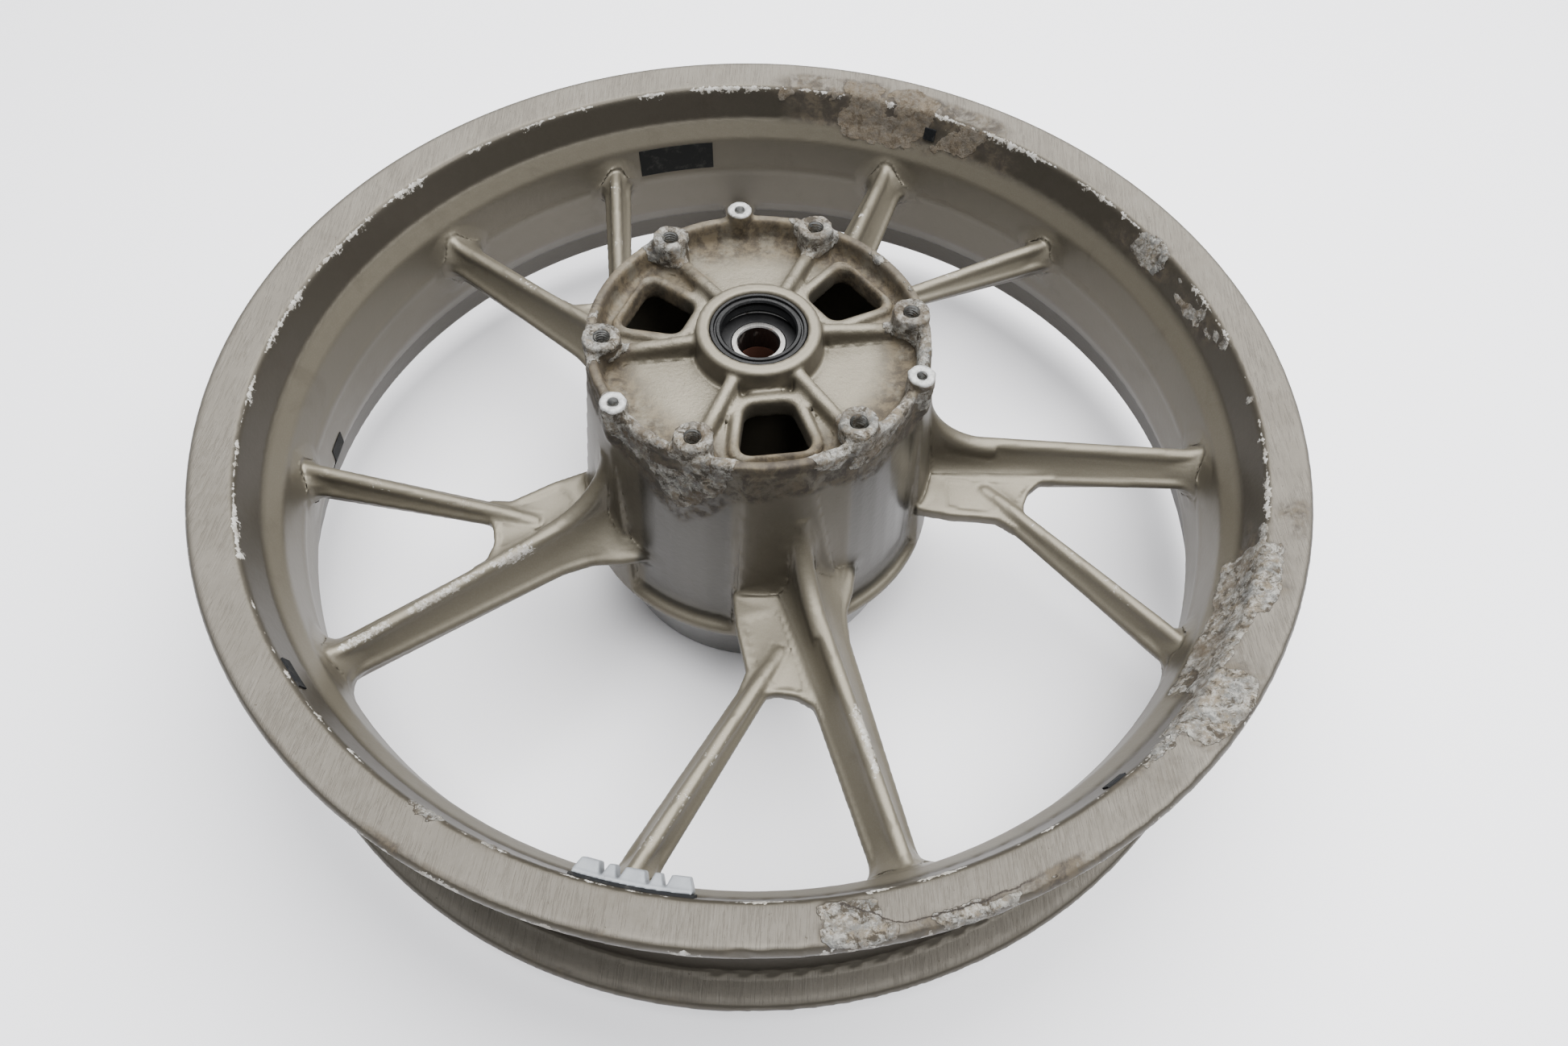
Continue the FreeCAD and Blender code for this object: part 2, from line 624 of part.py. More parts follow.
def valve_cap():
    return along_valve(revolved(section(
        (3.85, 26.2), (4.8, 26.2), (4.8, 35.2), ((4.5, 36.2), (3.5, 36.6)), (0, 36.6), (0, 34.2), (3.85, 34.2))))


# ---------------------------------------------------------------- stick-on pieces

def wall_radius(z):
    """Radius of the conical wall under the flange face."""
    top_z, top_r = 46.1, FACE_IN_R - 0.4
    low_z, low_r = 33.0, 210.6
    return low_r + (top_r - low_r) * (z - low_z) / (top_z - low_z)


def on_wall(inward0, inward1, z0, z1, span, azimuth):
    """Curved strip lying on that wall, between two depths."""
    strip = section((wall_radius(z0) - inward0, z0), (wall_radius(z1) - inward0, z1),
                    (wall_radius(z1) - inward1, z1), (wall_radius(z0) - inward1, z0))
    return revolved(strip, span, azimuth - span / 2)


def weight_block(width, azimuth):
    """One block of the weight, tapering away from the rim's wall."""
    foot, crown, taper, low_z, high_z = 2.2, 6.6, 1.4, 34.8, 45.4

    def face(inward, half, z0, z1):
        degrees = math.degrees(half / WEIGHT_R)
        corners = [(-degrees, z0), (degrees, z0), (degrees, z1), (-degrees, z1)]
        points = [polar(wall_radius(z) - inward, azimuth + a, z) for a, z in corners]
        return Part.makePolygon(points + points[:1])

    return Part.makeLoft([face(foot, width / 2, low_z, high_z),
                          face(crown, width / 2 - taper, low_z + taper, high_z - taper)], True, True)


def balance_weight():
    base = on_wall(1.0, 2.4, 34.0, 45.6, WEIGHT_SPAN - 0.4, WEIGHT_AZ)
    total = sum(WEIGHT_BLOCKS) + WEIGHT_GAP * (len(WEIGHT_BLOCKS) - 1)
    blocks = []
    here = -total / 2
    for width in WEIGHT_BLOCKS:
        blocks.append(weight_block(width, WEIGHT_AZ + math.degrees((here + width / 2) / WEIGHT_R)))
        here += width + WEIGHT_GAP
    return base.fuse(blocks).removeSplitter()


def weight_tape():
    return on_wall(0.0, 1.0, 33.6, 46.0, WEIGHT_SPAN, WEIGHT_AZ)


def old_tape_pads():
    """Foam tape left behind where earlier balance weights were pulled off."""
    pads = [on_wall(0.0, 0.7, 41.5, 45.6, 3.8, 221.8), on_wall(0.0, 0.7, 41.5, 45.6, 2.3, 308.2),
            on_wall(0.0, 0.9, 34.0, 40.0, 1.7, 67.0)]
    return Part.makeCompound(pads)


def barrel_tape():
    """Dark tape patch on the far side of the barrel, above its nose."""
    low_z, high_z, thick = 5.6, 20.4, 0.35
    low_r, high_r = [BARREL_R + 0.5 + (z - 5.0) * 1.9 / 16.2 for z in (low_z, high_z)]
    return revolved(section((low_r, low_z), (high_r, high_z), (high_r - thick, high_z),
                            (low_r - thick, low_z)), 11.6, 100.2)


def square_tape():
    """Small dark patch low on the barrel, bent over the edge of its slope."""
    thick, clear = 0.35, 0.06
    wall = [(203.95, -14.0), (204.6, -21.2), (204.73, -22.0), (204.98, -22.6), (205.4, -23.2), (209.09, -30.4)]
    outer = [(r - clear, z) for r, z in wall]
    inner = [(r - clear - thick, z) for r, z in reversed(wall)]
    return revolved(section(outer[0], *outer[1:], *inner), 3.4, 176.6)


# ---------------------------------------------------------------- write the parts

def main():
    os.makedirs("parts", exist_ok=True)
    save("wheel_casting", wheel_casting())
    save_bearing("disc_bearing", DISC_BEARING_Z)
    save_bearing("drive_bearing", DRIVE_BEARING_Z)
    save("spacer_tube", spacer_tube())
    save("shaft_seal", shaft_seal())
    save("seal_garter_spring", garter_spring())
    save("retaining_ring", retaining_ring())
    rubber = damper_rubber()
    for i in range(VANE_COUNT):
        middle = VANE_AZ + (i + 0.5) * 360.0 / VANE_COUNT
        save("damper_rubber_%d" % (i + 1), turned(rubber, middle))
    save("valve_stem", valve_stem())
    save("valve_seal", valve_seal())
    save("valve_nut", valve_nut())
    save("valve_core", valve_core())
    save("valve_cap", valve_cap())
    save("balance_weight", balance_weight())
    save("balance_weight_tape", weight_tape())
    save("old_tape_pads", old_tape_pads())
    save("barrel_tape_patch", barrel_tape())
    save("square_tape_patch", square_tape())


main()
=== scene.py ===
"""Looks of the cast motorcycle wheel: its skin, surface wear, small machined details and studio."""
import json
import math

import bmesh
import bpy
import numpy as np
from mathutils import Matrix, Vector


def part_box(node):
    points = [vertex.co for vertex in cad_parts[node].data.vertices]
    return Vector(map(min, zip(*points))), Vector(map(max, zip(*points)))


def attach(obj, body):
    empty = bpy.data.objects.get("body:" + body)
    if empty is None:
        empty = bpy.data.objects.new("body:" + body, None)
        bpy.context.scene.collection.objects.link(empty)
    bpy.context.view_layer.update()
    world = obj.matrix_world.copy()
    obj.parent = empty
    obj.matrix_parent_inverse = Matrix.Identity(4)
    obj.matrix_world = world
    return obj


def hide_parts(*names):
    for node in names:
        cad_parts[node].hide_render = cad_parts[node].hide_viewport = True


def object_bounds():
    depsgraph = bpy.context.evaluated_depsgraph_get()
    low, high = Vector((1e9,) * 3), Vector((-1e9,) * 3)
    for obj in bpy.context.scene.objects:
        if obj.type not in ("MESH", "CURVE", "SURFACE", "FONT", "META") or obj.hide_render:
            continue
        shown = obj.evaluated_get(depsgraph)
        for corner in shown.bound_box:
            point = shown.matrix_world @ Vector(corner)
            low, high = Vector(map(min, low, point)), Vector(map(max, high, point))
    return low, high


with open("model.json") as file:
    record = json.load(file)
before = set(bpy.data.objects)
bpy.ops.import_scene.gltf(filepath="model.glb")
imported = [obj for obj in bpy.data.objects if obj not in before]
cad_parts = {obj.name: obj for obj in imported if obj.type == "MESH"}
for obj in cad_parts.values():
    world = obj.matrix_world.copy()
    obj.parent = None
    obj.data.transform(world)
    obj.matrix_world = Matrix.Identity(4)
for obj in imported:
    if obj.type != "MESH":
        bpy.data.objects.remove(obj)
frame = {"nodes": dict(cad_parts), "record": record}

CAD_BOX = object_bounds()
NODES = frame["nodes"]
MM = 0.001
WHEEL = "wheel"

# Wheel dimensions, in metres
HUB_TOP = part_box("wheel_casting")[1].z
FLOOR_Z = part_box("wheel_casting")[0].z
ARM_AZ = 0.4
ARM_STEP = 72.0
DISC_HOLES = {"pcd": 125.2 * MM, "azimuths": range(10, 370, 60), "major": 3.32 * MM, "crest": 2.85 * MM,
              "pitch": 1.25 * MM, "depth": 16 * MM}
SENSOR_HOLES = {"pcd": 137.6 * MM, "azimuths": (100, 220, 340), "major": 2.07 * MM, "crest": 1.72 * MM,
                "pitch": 0.8 * MM, "depth": 11 * MM}

# How far down the hub's skin the corrosion has crept: (azimuth, height in mm)
CRUST_REACH = [(0, 75), (12, 70), (24, 80), (60, 80), (72, 70), (84, 81), (118, 80), (130, 74), (142, 80),
               (176, 78), (190, 70), (204, 76), (222, 71), (232, 64), (240, 57), (247, 51), (253, 56),
               (260, 62), (267, 72), (282, 76), (296, 73), (306, 67), (314, 69), (324, 75), (338, 68),
               (345, 74), (360, 75)]

# Corroded patches of the rim: azimuth, half width, inner and outer radius, lowest height (mm), strength
RIM_CRUST = [(333, 8, 203, 216, 25, 1.0), (327, 5, 205, 214, 19, 0.9), (320, 4.5, 207, 229, 38, 1.0),
             (338, 4, 212, 222, 40, 0.75), (344, 5, 211, 217, 42, 0.6), (312, 5, 211, 219, 44, 0.65),
             (280.5, 2.2, 217, 231, 45, 1.0), (286, 5, 226, 231, 45, 0.7), (298, 8, 228, 231.5, 45, 0.55),
             (73, 9, 204, 224, 27, 0.78), (64, 4, 204, 217, 30, 0.75), (84, 5, 211, 218, 40, 0.7),
             (29, 3, 203, 216, 33, 0.75), (20, 4, 204, 215, 33, 0.7), (13, 3, 206, 214, 38, 0.7),
             (4, 2.5, 210, 215, 42, 0.6), (246, 5, 212, 217, 44, 0.6), (110, 3, 229, 231.5, 45, 0.6)]

# Brown stains of the rim, in the same terms
RIM_STAINS = [(333, 12, 208, 214, 33, 1.0), (318, 9, 214, 231, 44, 0.55), (340, 8, 214, 231, 44, 0.4),
              (72, 16, 206, 224, 30, 0.9), (24, 12, 204, 214, 34, 0.7), (292, 8, 226, 232, 44, 0.8),
              (246, 12, 228, 232, 44, 0.5), (262, 50, 228.5, 232, -60, 0.35)]

VOXEL = 1.2 * MM             # spacing of the casting's skin
WEIGHT_VOXEL = 0.4 * MM      # spacing of the balance weight's skin
CRUST_HEIGHT = 2.3 * MM      # relief of the corrosion
FACE_IN = 0.2147             # inner edge of the flange face
FACE_OUT = 0.2318            # outer edge of the flange face

# Metallic paint on upward faces, and the darker paint that is painted shade on upright and downward faces and
# also a random darker tone
CHAMPAGNE = (0.146, 0.130, 0.097)
CHAMPAGNE_DARK_AND_SHADED = (0.088, 0.078, 0.060)


# ---------------------------------------------------------------- numbers

def value_noise(points, size, seed):
    """Smooth 3-D noise from 0 to 1 whose features are about size metres wide."""
    cells = points / size
    base = np.floor(cells).astype(np.int64)
    t = cells - base
    t = t * t * (3 - 2 * t)
    total = np.zeros(len(points))
    for corner in range(8):
        step = np.array([corner & 1, corner >> 1 & 1, corner >> 2 & 1])
        cell = (base + step).astype(np.uint32)
        mixed = cell[:, 0] * np.uint32(374761393) + cell[:, 1] * np.uint32(668265263)
        mixed = mixed + cell[:, 2] * np.uint32(2246822519) + np.uint32(seed * 97531)
        mixed = (mixed ^ (mixed >> np.uint32(13))) * np.uint32(1274126177)
        mixed = mixed ^ (mixed >> np.uint32(16))
        weight = np.prod(np.where(step, t, 1 - t), axis=1)
        total += weight * (mixed & np.uint32(0xFFFF)) / 65535.0
    return total


def fractal(points, size, seed, octaves=4):
    total, share, full = 0.0, 1.0, 0.0
    for i in range(octaves):
        total = total + share * value_noise(points, size / 2 ** i, seed + i)
        full += share
        share *= 0.55
    return total / full


def ease(value, low, high):
    """0 below low, 1 above high and smooth between; low may be the larger."""
    t = np.clip((value - low) / (high - low), 0, 1)
    return t * t * (3 - 2 * t)


def near_azimuth(azimuth, centre, half, soft):
    away = np.abs((azimuth - centre + 180) % 360 - 180)
    return ease(away, half + soft, half)


# ---------------------------------------------------------------- the casting's skin

def apply_modifiers(obj):
    graph = bpy.context.evaluated_depsgraph_get()
    mesh = bpy.data.meshes.new_from_object(obj.evaluated_get(graph), depsgraph=graph)
    obj.modifiers.clear()
    obj.data = mesh
    return obj


def remeshed(name, node, voxel):
    """A copy of a CAD node with an even mesh whose points lie on the CAD surface."""
    mesh = NODES[node].data.copy()
    mesh.materials.clear()
    welded = bmesh.new()
    welded.from_mesh(mesh)
    bmesh.ops.remove_doubles(welded, verts=welded.verts, dist=1e-6)
    welded.to_mesh(mesh)
    welded.free()
    obj = bpy.data.objects.new(name, mesh)
    bpy.context.scene.collection.objects.link(obj)
    even = obj.modifiers.new("even", "REMESH")
    even.mode = "VOXEL"
    even.voxel_size = voxel
    onto = obj.modifiers.new("onto", "SHRINKWRAP")
    onto.target = NODES[node]
    onto.wrap_method = "NEAREST_SURFACEPOINT"
    return apply_modifiers(obj)


def points_of(mesh):
    co = np.empty(len(mesh.vertices) * 3, np.float32)
    mesh.vertices.foreach_get("co", co)
    return co.reshape(-1, 3).astype(np.float64)


def normals_of(mesh):
    normal = np.empty(len(mesh.vertices) * 3, np.float32)
    mesh.vertex_normals.foreach_get("vector", normal)
    return normal.reshape(-1, 3).astype(np.float64)


def edges_of(mesh):
    edges = np.empty(len(mesh.edges) * 2, np.int32)
    mesh.edges.foreach_get("vertices", edges)
    return edges.reshape(-1, 2)


def spread(values, edges, rounds):
    """Each row of values moved towards the mean of its neighbours, a few times over."""
    count = len(values)
    first, second = edges[:, 0], edges[:, 1]
    degree = np.bincount(edges.ravel(), minlength=count)[:, None]
    for _ in range(rounds):
        columns = [np.bincount(first, values[second, k], count) + np.bincount(second, values[first, k], count)
                   for k in range(values.shape[1])]
        values = values + 0.7 * (np.stack(columns, 1) / degree - values)
    return values


def polar_parts(co):
    radius = np.hypot(co[:, 0], co[:, 1])
    azimuth = np.degrees(np.arctan2(co[:, 1], co[:, 0])) % 360
    return radius, azimuth, co[:, 2]


def rim_patch(radius, azimuth, z, centre, half, inner, outer, low):
    patch = near_azimuth(azimuth, centre, half * 0.6, half) * ease(z, (low - 5) * MM, (low + 4) * MM)
    patch = patch * ease(radius, (inner - 1) * MM, (inner + 1) * MM)
    return patch * ease(radius, (outer + 4) * MM, (outer - 3) * MM)


def crust_zones(co):
    """Where white corrosion has lifted the paint, from 0 to 1, before the noise breaks it up."""
    radius, azimuth, z = polar_parts(co)
    reach = np.interp(azimuth, *zip(*CRUST_REACH)) * MM
    skin = ease(z, reach - 4 * MM, reach + 4 * MM) * ease(radius, 61 * MM, 64 * MM)
    front = near_azimuth(azimuth, 262, 78, 20)
    zone = skin * (0.44 + 0.34 * front)
    stain = ease(z, reach - 17 * MM, reach - 2 * MM) * ease(radius, 64 * MM, 66 * MM) * (0.4 + 0.6 * front)
    stain *= ease(radius, 88 * MM, 82 * MM)
    for turn in DISC_HOLES["azimuths"]:
        angle, reach = math.radians(turn), DISC_HOLES["pcd"] / 2
        away = np.hypot(co[:, 0] - reach * math.cos(angle), co[:, 1] - reach * math.sin(angle))
        zone = np.maximum(zone, 0.95 * ease(away, 13.5 * MM, 8.5 * MM) * ease(z, 73 * MM, 79 * MM))
    zone *= ease(radius, 92 * MM, 84 * MM)
    for centre, half, inner, outer, low, strength in RIM_CRUST:
        zone = np.maximum(zone, strength * rim_patch(radius, azimuth, z, centre, half, inner, outer, low))
    for centre, half, inner, outer, low, strength in RIM_STAINS:
        stain = np.maximum(stain, strength * rim_patch(radius, azimuth, z, centre, half, inner, outer, low))
    return zone, np.maximum(stain, zone * 0.9)


def chip_zones(co, wear):
    """Knocked and scuffed places along edges, from 0 to 1, before the noise breaks them up."""
    radius, azimuth, z = polar_parts(co)
    turn = (azimuth - ARM_AZ + ARM_STEP / 2) % ARM_STEP - ARM_STEP / 2
    aside = radius * np.sin(np.radians(turn))
    crest = 0.86 * ease(np.abs(aside - 0.6 * MM), 3.4 * MM, 0.8 * MM) * ease(z, 9 * MM, 15 * MM)
    crest = crest * ease(radius, 96 * MM, 110 * MM) * ease(radius, 203 * MM, 196 * MM)
    knocked = near_azimuth(azimuth, 288, 9, 3) * ease(radius, 126 * MM, 146 * MM)
    knocked = np.maximum(knocked, near_azimuth(azimuth, 216, 9, 3) * 0.9)
    knocked = np.maximum(knocked, near_azimuth(azimuth, 72, 9, 3) * ease(radius, 150 * MM, 160 * MM))
    arms = ease(radius, 110 * MM, 118 * MM) * ease(radius, 204 * MM, 200 * MM) * ease(z, 5 * MM, 9 * MM)
    return np.maximum(crest * knocked, wear * arms * 0.62) * ease(fractal(co, 14 * MM, 37), 0.30, 0.55)


def recessed_panels(co):
    """The glossy stretches of hub skin between the columns, and the foot of the drum."""
    radius, azimuth, z = polar_parts(co)
    turn = (azimuth - ARM_AZ) % ARM_STEP
    between = ease(turn, 14, 17) * ease(turn, 50, 47)
    skin = ease(radius, 64 * MM, 67 * MM) * ease(radius, 82 * MM, 79 * MM)
    panel = between * ease(z, -22 * MM, -19 * MM) * ease(z, 70 * MM, 60 * MM)
    foot = ease(z, -31 * MM, -34 * MM)
    return skin * np.maximum(panel, foot)


def set_point_values(mesh, name, values):
    layer = mesh.attributes.new(name, "FLOAT", "POINT")
    layer.data.foreach_set("value", values.astype(np.float32))


def round_shading(mesh, co, normal):
    """Rim and hub faces are turned about the axle, so their normals have no part along the rim."""
    radius = polar_parts(co)[0]
    along = np.stack([-co[:, 1], co[:, 0], np.zeros(len(co))], 1) / np.maximum(radius, 1e-6)[:, None]
    slant = np.sum(normal * along, axis=1)
    turned = ease(np.abs(slant), 0.11, 0.06) * ease(radius, 199 * MM, 202 * MM)
    smooth = normal - (slant * turned)[:, None] * along
    smooth /= np.linalg.norm(smooth, axis=1)[:, None]
    mesh.shade_smooth()
    mesh.normals_split_custom_set_from_vertices(smooth.astype(np.float32))


def softened(co, normal, edges):
    """Points with cast fillets filled in and edges eased, with the wear and the hollows that take painted shade
    found on the way.
    """
    radius, _, z = polar_parts(co)
    smoother = spread(co, edges, 40)
    shift = np.sum((smoother - co) * normal, axis=1)
    deep = np.sum((spread(smoother, edges, 70) - co) * normal, axis=1)
    local = np.sum((spread(co, edges, 4) - co) * normal, axis=1)
    root = ease(radius, 184 * MM, 192 * MM) * ease(np.abs(z), 24 * MM, 18 * MM)

    outside = ease(radius, 63.5 * MM, 66.5 * MM) * ease(z, 82 * MM, 74 * MM)
    web = ease(z, 60 * MM, 66 * MM) * ease(radius, 27 * MM, 29 * MM) * ease(z, 82 * MM, 76 * MM)
    flange = ease(radius, 206 * MM, 209 * MM)
    fill = np.maximum(outside * (1 - flange), web * 0.6)
    exact = ease(radius, 26.5 * MM, 28 * MM)
    rounding = np.clip(shift, 0, 3.2 * MM) * (1 - root) + np.clip(deep, 0, 5.5 * MM) * root
    moved = co + normal * (rounding * fill)[:, None]
    moved += normal * (np.clip(local, -0.35 * MM, 0) * exact)[:, None]
    return moved, ease(-local, 0.12 * MM, 0.30 * MM) * exact, ease(shift, 0.2 * MM, 1.6 * MM)


def grime_zone(radius, azimuth, z):
    """Dirt that has settled on the web between the ribs and on the land inside the bosses."""
    inner = ease(radius, 67.5 * MM, 66 * MM) * ease(radius, 27 * MM, 34 * MM)
    framed = 0.85 * near_azimuth(azimuth, 150, 26, 8) * ease(radius, 36 * MM, 42 * MM)
    land = 0.8 * ease(z, 76 * MM, 79 * MM) * ease(radius, 63 * MM, 65 * MM) * ease(radius, 75 * MM, 73 * MM)
    far_wall = ease(radius, 58 * MM, 63 * MM) * near_azimuth(azimuth, 100, 70, 30) * ease(z, 82 * MM, 79 * MM)
    outer_web = np.maximum.reduce([ease(radius, 44 * MM, 60 * MM), far_wall, framed])
    return np.maximum(land, inner * ease(z, 60 * MM, 66 * MM) * outer_web)


def bare_zone(radius, azimuth, z):
    """The unpainted faces of the sensor-ring bosses."""
    faces = sum(near_azimuth(azimuth, a, 4.2, 0.8) for a in SENSOR_HOLES["azimuths"])
    return faces * ease(z, 84.6 * MM, 85.5 * MM) * ease(radius, 62 * MM, 64.0 * MM)


def wheel_skin():
    """The casting with cast fillets in its corners, softened edges, corrosion and chips."""
    obj = remeshed("casting_skin", "wheel_casting", VOXEL)
    mesh = obj.data
    co, normal = points_of(mesh), normals_of(mesh)
    place = polar_parts(co)
    moved, wear, hollow_shade = softened(co, normal, edges_of(mesh))
    zone, stain = crust_zones(moved)
    crust = ease(zone + (fractal(moved, 15 * MM, 11, 5) - 0.5) * 2.1, 0.52, 0.68) * ease(zone, 0.02, 0.25)
    grit = 0.6 * fractal(moved, 5.5 * MM, 23, 3) + 0.4 * fractal(moved, 2.2 * MM, 29, 2)
    chips = chip_zones(moved, wear)
    moved += normal * ((grit - 0.42) * crust * CRUST_HEIGHT)[:, None]
    moved = np.clip(moved, np.array(CAD_BOX[0]), np.array(CAD_BOX[1]))

    mesh.vertices.foreach_set("co", moved.astype(np.float32).ravel())
    mesh.update()
    round_shading(mesh, moved, normals_of(mesh))
    stain = ease(stain + (fractal(moved, 18 * MM, 51) - 0.5) * 1.1, 0.30, 0.75) * ease(stain, 0.0, 0.12)
    bare = bare_zone(*place)
    brown = near_azimuth(place[1], 72, 22, 8) * ease(place[0], 150 * MM, 190 * MM)
    for name, values in {
            "crust": crust * (1 - bare), "chips": chips, "wear": wear, "stain": stain, "hollow_shade": hollow_shade,
            "gloss": recessed_panels(moved), "grime": grime_zone(*place), "bare": bare, "brown": brown}.items():
        set_point_values(mesh, name, values)
    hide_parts("wheel_casting")
    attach(obj, WHEEL)
    return obj


def weight_skin():
    """The balance weight with the soft edges of its thick coating."""
    obj = remeshed("weight_skin", "balance_weight", WEIGHT_VOXEL)
    mesh = obj.data
    co, edges = points_of(mesh), edges_of(mesh)
    soft = spread(co, edges, 3)
    mesh.vertices.foreach_set("co", soft.astype(np.float32).ravel())
    mesh.update()
    mesh.shade_smooth()
    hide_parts("balance_weight")
    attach(obj, WHEEL)
    return obj


# ---------------------------------------------------------------- threads in the tapped holes

def thread_lining(name, hole):
    """Thin threaded linings, one in each tapped hole of a bolt circle, as one mesh."""
    around, rows_per_turn = 28, 5
    crest, major, pitch = hole["crest"], hole["major"], hole["pitch"]
    shape = [crest, crest + 0.2 * (major - crest), major, major, crest + 0.2 * (major - crest)]
    rows = int(hole["depth"] / pitch * rows_per_turn)
    mesh = bmesh.new()
    for azimuth in hole["azimuths"]:
        turn = math.radians(azimuth)
        centre = Vector((math.cos(turn), math.sin(turn), 0)) * hole["pcd"] / 2
        rings = []
        for row in range(rows + 1):
            down = row * pitch / rows_per_turn
            ring = []
            for k in range(around):
                angle = 2 * math.pi * k / around
                place = row + k * rows_per_turn / around
                low, part = int(place) % rows_per_turn, place - int(place)
                radius = shape[low] * (1 - part) + shape[(low + 1) % rows_per_turn] * part
                radius = max(radius, major - 0.8 * down)
                ring.append(mesh.verts.new(centre + Vector((
                    radius * math.cos(angle), radius * math.sin(angle), HUB_TOP - 0.25 * MM - down))))
            rings.append(ring)
        for upper, lower in zip(rings, rings[1:]):
            for k in range(around):
                mesh.faces.new((upper[k], upper[(k + 1) % around], lower[(k + 1) % around], lower[k]))
    data = bpy.data.meshes.new(name)
    mesh.to_mesh(data)
    mesh.free()
    data.shade_smooth()
    obj = bpy.data.objects.new(name, data)
    bpy.context.scene.collection.objects.link(obj)
    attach(obj, WHEEL)
    return obj


# ---------------------------------------------------------------- materials

class Paint:
    """A node material with short calls for the nodes used here."""

    def __init__(self, name):
        self.material = bpy.data.materials.new(name)
        self.material.use_nodes = True
        self.tree = self.material.node_tree
        self.surface = self.tree.nodes["Principled BSDF"]
        self.place = self.add("TexCoord").outputs["Object"]

    def add(self, kind, inputs=None, **settings):
        node = self.tree.nodes.new("ShaderNode" + kind)
        for key, value in settings.items():
            setattr(node, key, value)
        for key, value in (inputs or {}).items():
            self.put(node.inputs[key], value)
        return node

    def put(self, socket, value):
        if isinstance(value, bpy.types.NodeSocket):
            self.tree.links.new(value, socket)
        else:
            socket.default_value = value

    def noise(self, per_metre, detail=3.0, rough=0.5, place=None, warp=0.0):
        node = self.add("TexNoise", {"Vector": place or self.place, "Scale": per_metre, "Detail": detail,
                                     "Roughness": rough, "Distortion": warp})
        return node.outputs["Fac"]

    def ramp(self, value, low, high, to_low=0.0, to_high=1.0):
        node = self.add("MapRange", {"Value": value, "From Min": low, "From Max": high, "To Min": to_low,
                                     "To Max": to_high}, interpolation_type="SMOOTHSTEP")
        return node.outputs["Result"]

    def math(self, operation, first, second=0.0, third=0.0):
        node = self.add("Math", {0: first, 1: second, 2: third}, operation=operation)
        node.use_clamp = operation in ("ADD", "MULTIPLY_ADD")
        return node.outputs[0]

    def times(self, first, second):
        return self.math("MULTIPLY", first, second)

    def most(self, first, second):
        return self.math("MAXIMUM", first, second)

    def blend(self, share, first, second):
        """Colour first where share is 0 and second where it is 1."""
        node = self.add("Mix", data_type="RGBA")
        for socket, value in zip((0, 6, 7), (share, first, second)):
            value = (*value, 1.0) if isinstance(value, tuple) and len(value) == 3 else value
            self.put(node.inputs[socket], value)
        return node.outputs[2]

    def level(self, share, first, second):
        """Number first where share is 0 and second where it is 1."""
        node = self.add("Mix", {0: share, 2: first, 3: second}, data_type="FLOAT")
        return node.outputs[0]

    def attribute(self, name):
        return self.add("Attribute", attribute_name=name).outputs["Fac"]

    def stretched(self, turn, across, along):
        """Object coordinates turned about the axle and squeezed, for brushed or scratched lines."""
        node = self.add("Mapping", {"Vector": self.place, "Rotation": (0.3, 0.2, turn),
                                    "Scale": (across, along, along)})
        return node.outputs["Vector"]

    def bump(self, height, strength, distance, under=None):
        inputs = {"Height": height, "Strength": strength, "Distance": distance}
        if under is not None:
            inputs["Normal"] = under
        return self.add("Bump", inputs).outputs["Normal"]

    def finish(self, **inputs):
        for key, value in inputs.items():
            value = (*value, 1.0) if isinstance(value, tuple) and len(value) == 3 else value
            self.put(self.surface.inputs[key.replace("_", " ")], value)
        return self.material


def scratches(paint, turns, size, thin):
    """Fine wavy scratches, each direction in its own patches."""
    total = None
    for turn in turns:
        lines = paint.noise(size, 2.0, 0.6, paint.stretched(turn, 1.0, 0.045), warp=0.5)
        shifted = paint.add("Mapping", {"Vector": paint.place, "Location": (turn, 2 * turn, 0)})
        patches = paint.ramp(paint.noise(34, 3, 0.6, shifted.outputs["Vector"]), 0.44, 0.60)
        lines = paint.times(paint.ramp(lines, thin, thin + 0.07), patches)
        total = lines if total is None else paint.most(total, lines)
    return total


def polar_nodes(p):
    """Radius, azimuth in degrees, whether above the flange edge, and two measures of facing up."""
    split = p.add("SeparateXYZ", {0: p.place})
    x, y = split.outputs["X"], split.outputs["Y"]
    high = p.ramp(split.outputs["Z"], 0.0425, 0.0445)
    radius = p.math("SQRT", p.math("ADD", p.times(x, x), p.times(y, y)))
    azimuth = p.times(p.math("ARCTAN2", y, x), 180 / math.pi)
    facing = p.add("SeparateXYZ", {0: p.add("NewGeometry").outputs["Normal"]})
    return radius, azimuth, high, p.ramp(facing.outputs["Z"], 0.80, 0.96), p.ramp(facing.outputs["Z"], 0.0, 0.62)


def edge_chips(p, radius, high, edge, widest, share):
    """Ragged line of knocked-off paint along one edge of the flange."""
    patchy = p.ramp(p.noise(55, 4, 0.7), 0.62 - share * 0.4, 0.80 - share * 0.4)
    ragged = p.ramp(p.noise(420, 4, 0.75), 0.30, 0.70, 0.0, widest)
    off = p.math("ABSOLUTE", p.math("SUBTRACT", radius, edge))
    return p.times(p.ramp(p.math("SUBTRACT", p.times(ragged, patchy), off), 0.0, 0.00025), high)


def crack(p, radius, azimuth, high):
    """Dark curved line where the flange's paint is lifting."""
    along = p.times(p.ramp(azimuth, -80.5, -80.0), p.ramp(azimuth, -62.0, -66.0))
    path = p.ramp(azimuth, -81.0, -74.5, 0.2165, 0.2270)
    wander = p.times(p.math("SUBTRACT", p.noise(230, 4, 0.7), 0.5), 0.0034)
    off = p.math("ABSOLUTE", p.math("SUBTRACT", p.math("SUBTRACT", radius, path), wander))
    return p.times(p.times(p.ramp(off, 0.00050, 0.00015), along), high)


